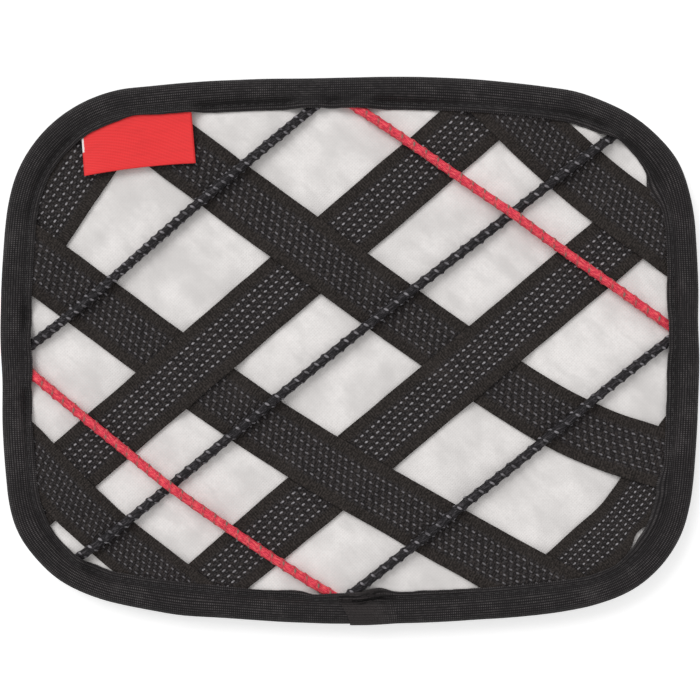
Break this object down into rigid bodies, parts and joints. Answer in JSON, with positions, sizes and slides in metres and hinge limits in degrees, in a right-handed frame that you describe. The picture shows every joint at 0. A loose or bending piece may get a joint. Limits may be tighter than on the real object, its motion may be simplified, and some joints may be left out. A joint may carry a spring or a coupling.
{
  "type": "cable organizer pouch",
  "caption": "Flat bound pouch with a criss-cross of woven elastic straps and round elastic cords on the front, and a zipped pocket in the back.",
  "frame": {"origin": "middle of the footprint, on the table that the back lies on", "axes": "+X along the longer side, to the right with the front seen upright; +Y up across the front; +Z out of the front face"},
  "size_m": [0.2068, 0.162, 0.0134],
  "materials": {
    "front_satin": "light grey satin weave with a soft sheen",
    "binding_grosgrain": "ribbed black-brown grosgrain tape",
    "filler": "soft twisted filler cord",
    "back_cloth": "plain black nylon weave",
    "lining": "thin grey lining",
    "board": "matt sheet",
    "foam": "soft foam sheet",
    "strap_elastic": "woven black elastic with light dashes",
    "cord_black": "braided elastic, black with grey flecks",
    "cord_red": "braided elastic, red with dark flecks",
    "label_red": "red satin woven label, bare",
    "zip_tape": "black knitted tape",
    "zip_coil": "black nylon coil",
    "zip_metal": "black lacquered metal"
  },
  "bodies": {
    "pouch": {"edge_binding": "binding_grosgrain", "binding_overlap": "binding_grosgrain", "edge_filler_cord": "filler", "back_panel": "back_cloth", "pocket_lining": "lining", "stiffener_board": "board", "foam_padding": "foam", "front_panel": "front_satin", "label_seam": "label_red", "zipper_tape_upper": "zip_tape", "zipper_tape_lower": "zip_tape", "zipper_coil_upper": "zip_coil", "zipper_coil_lower": "zip_coil", "zipper_top_stops": "zip_metal", "zipper_bottom_stop": "zip_metal", "strap_rising_1": "strap_elastic", "strap_rising_2": "strap_elastic", "strap_rising_3": "strap_elastic", "strap_rising_4": "strap_elastic", "strap_falling_1": "strap_elastic", "strap_falling_2": "strap_elastic", "strap_falling_3": "strap_elastic", "strap_falling_4": "strap_elastic", "cord_black_1": "cord_black", "cord_black_2": "cord_black", "cord_black_3": "cord_black", "cord_red_1": "cord_red", "cord_red_2": "cord_red"},
    "zipper_slider": {"zipper_slider": "zip_metal"},
    "zipper_pull": {"zipper_pull": "zip_metal"},
    "label_flap": {"label_flap": "label_red"}
  },
  "joints": [
    {"name": "zipper_slide", "type": "slide", "parent": "pouch", "child": "zipper_slider", "axis": [-1, 0, 0], "range_m": [0, 0.126], "deforming": ["zipper_coil_upper", "zipper_coil_lower"]},
    {"name": "zipper_pull_hinge", "type": "hinge", "parent": "zipper_slider", "child": "zipper_pull", "pos_m": [0.064, 0.03, 0.00125], "axis": [0, -1, 0], "range_deg": [0, 160]},
    {"name": "label_flap_hinge", "type": "hinge", "parent": "pouch", "child": "label_flap", "pos_m": [-0.063, 0.06535, 0.00975], "axis": [-0.9725, -0.2328, 0], "range_deg": [0, 95]}
  ]
}
